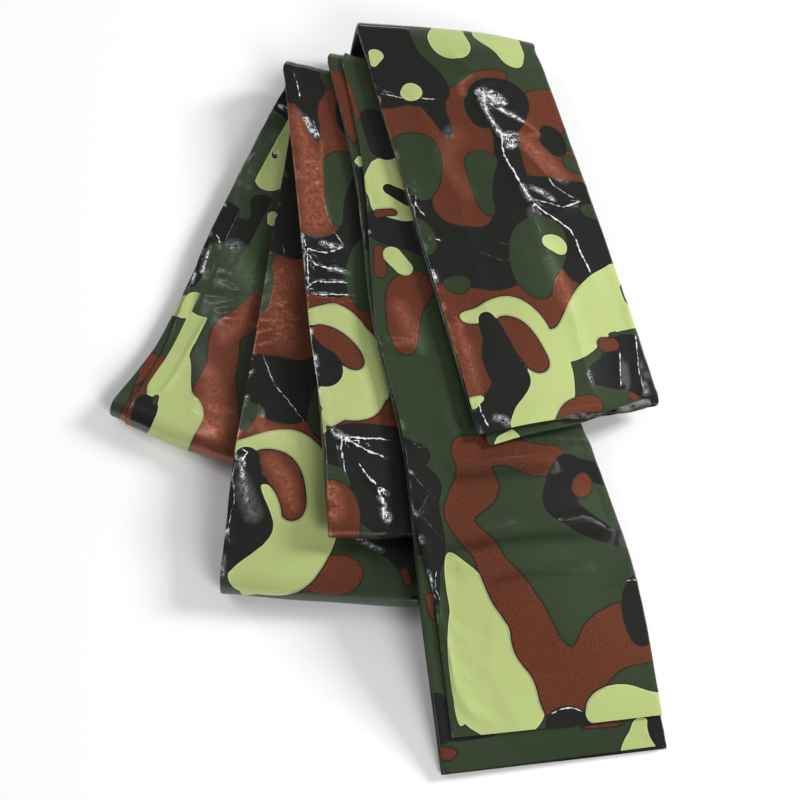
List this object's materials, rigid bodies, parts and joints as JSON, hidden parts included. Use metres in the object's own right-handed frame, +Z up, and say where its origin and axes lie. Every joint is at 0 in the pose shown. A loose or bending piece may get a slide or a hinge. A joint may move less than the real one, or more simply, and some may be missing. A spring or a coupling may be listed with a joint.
{
  "type": "emergency sleeping bag, folded",
  "caption": "Camouflage film emergency sleeping bag, folded lengthwise into a narrow strip and laid flat in a fan of zigzag folds",
  "frame": {"origin": "middle of the folded bag's footprint, on the surface it lies on", "axes": "+Z up through the pile, +Y along the longest extent, from the lower free end toward the far folds, +X across the fan"},
  "size_m": [0.2671, 0.3972, 0.0376],
  "materials": {
    "printed_film": "glossy metallised film printed in dark green, brown, black and light yellow-green"
  },
  "bodies": {
    "root": {"folded_bag": "printed_film"}
  },
  "joints": []
}
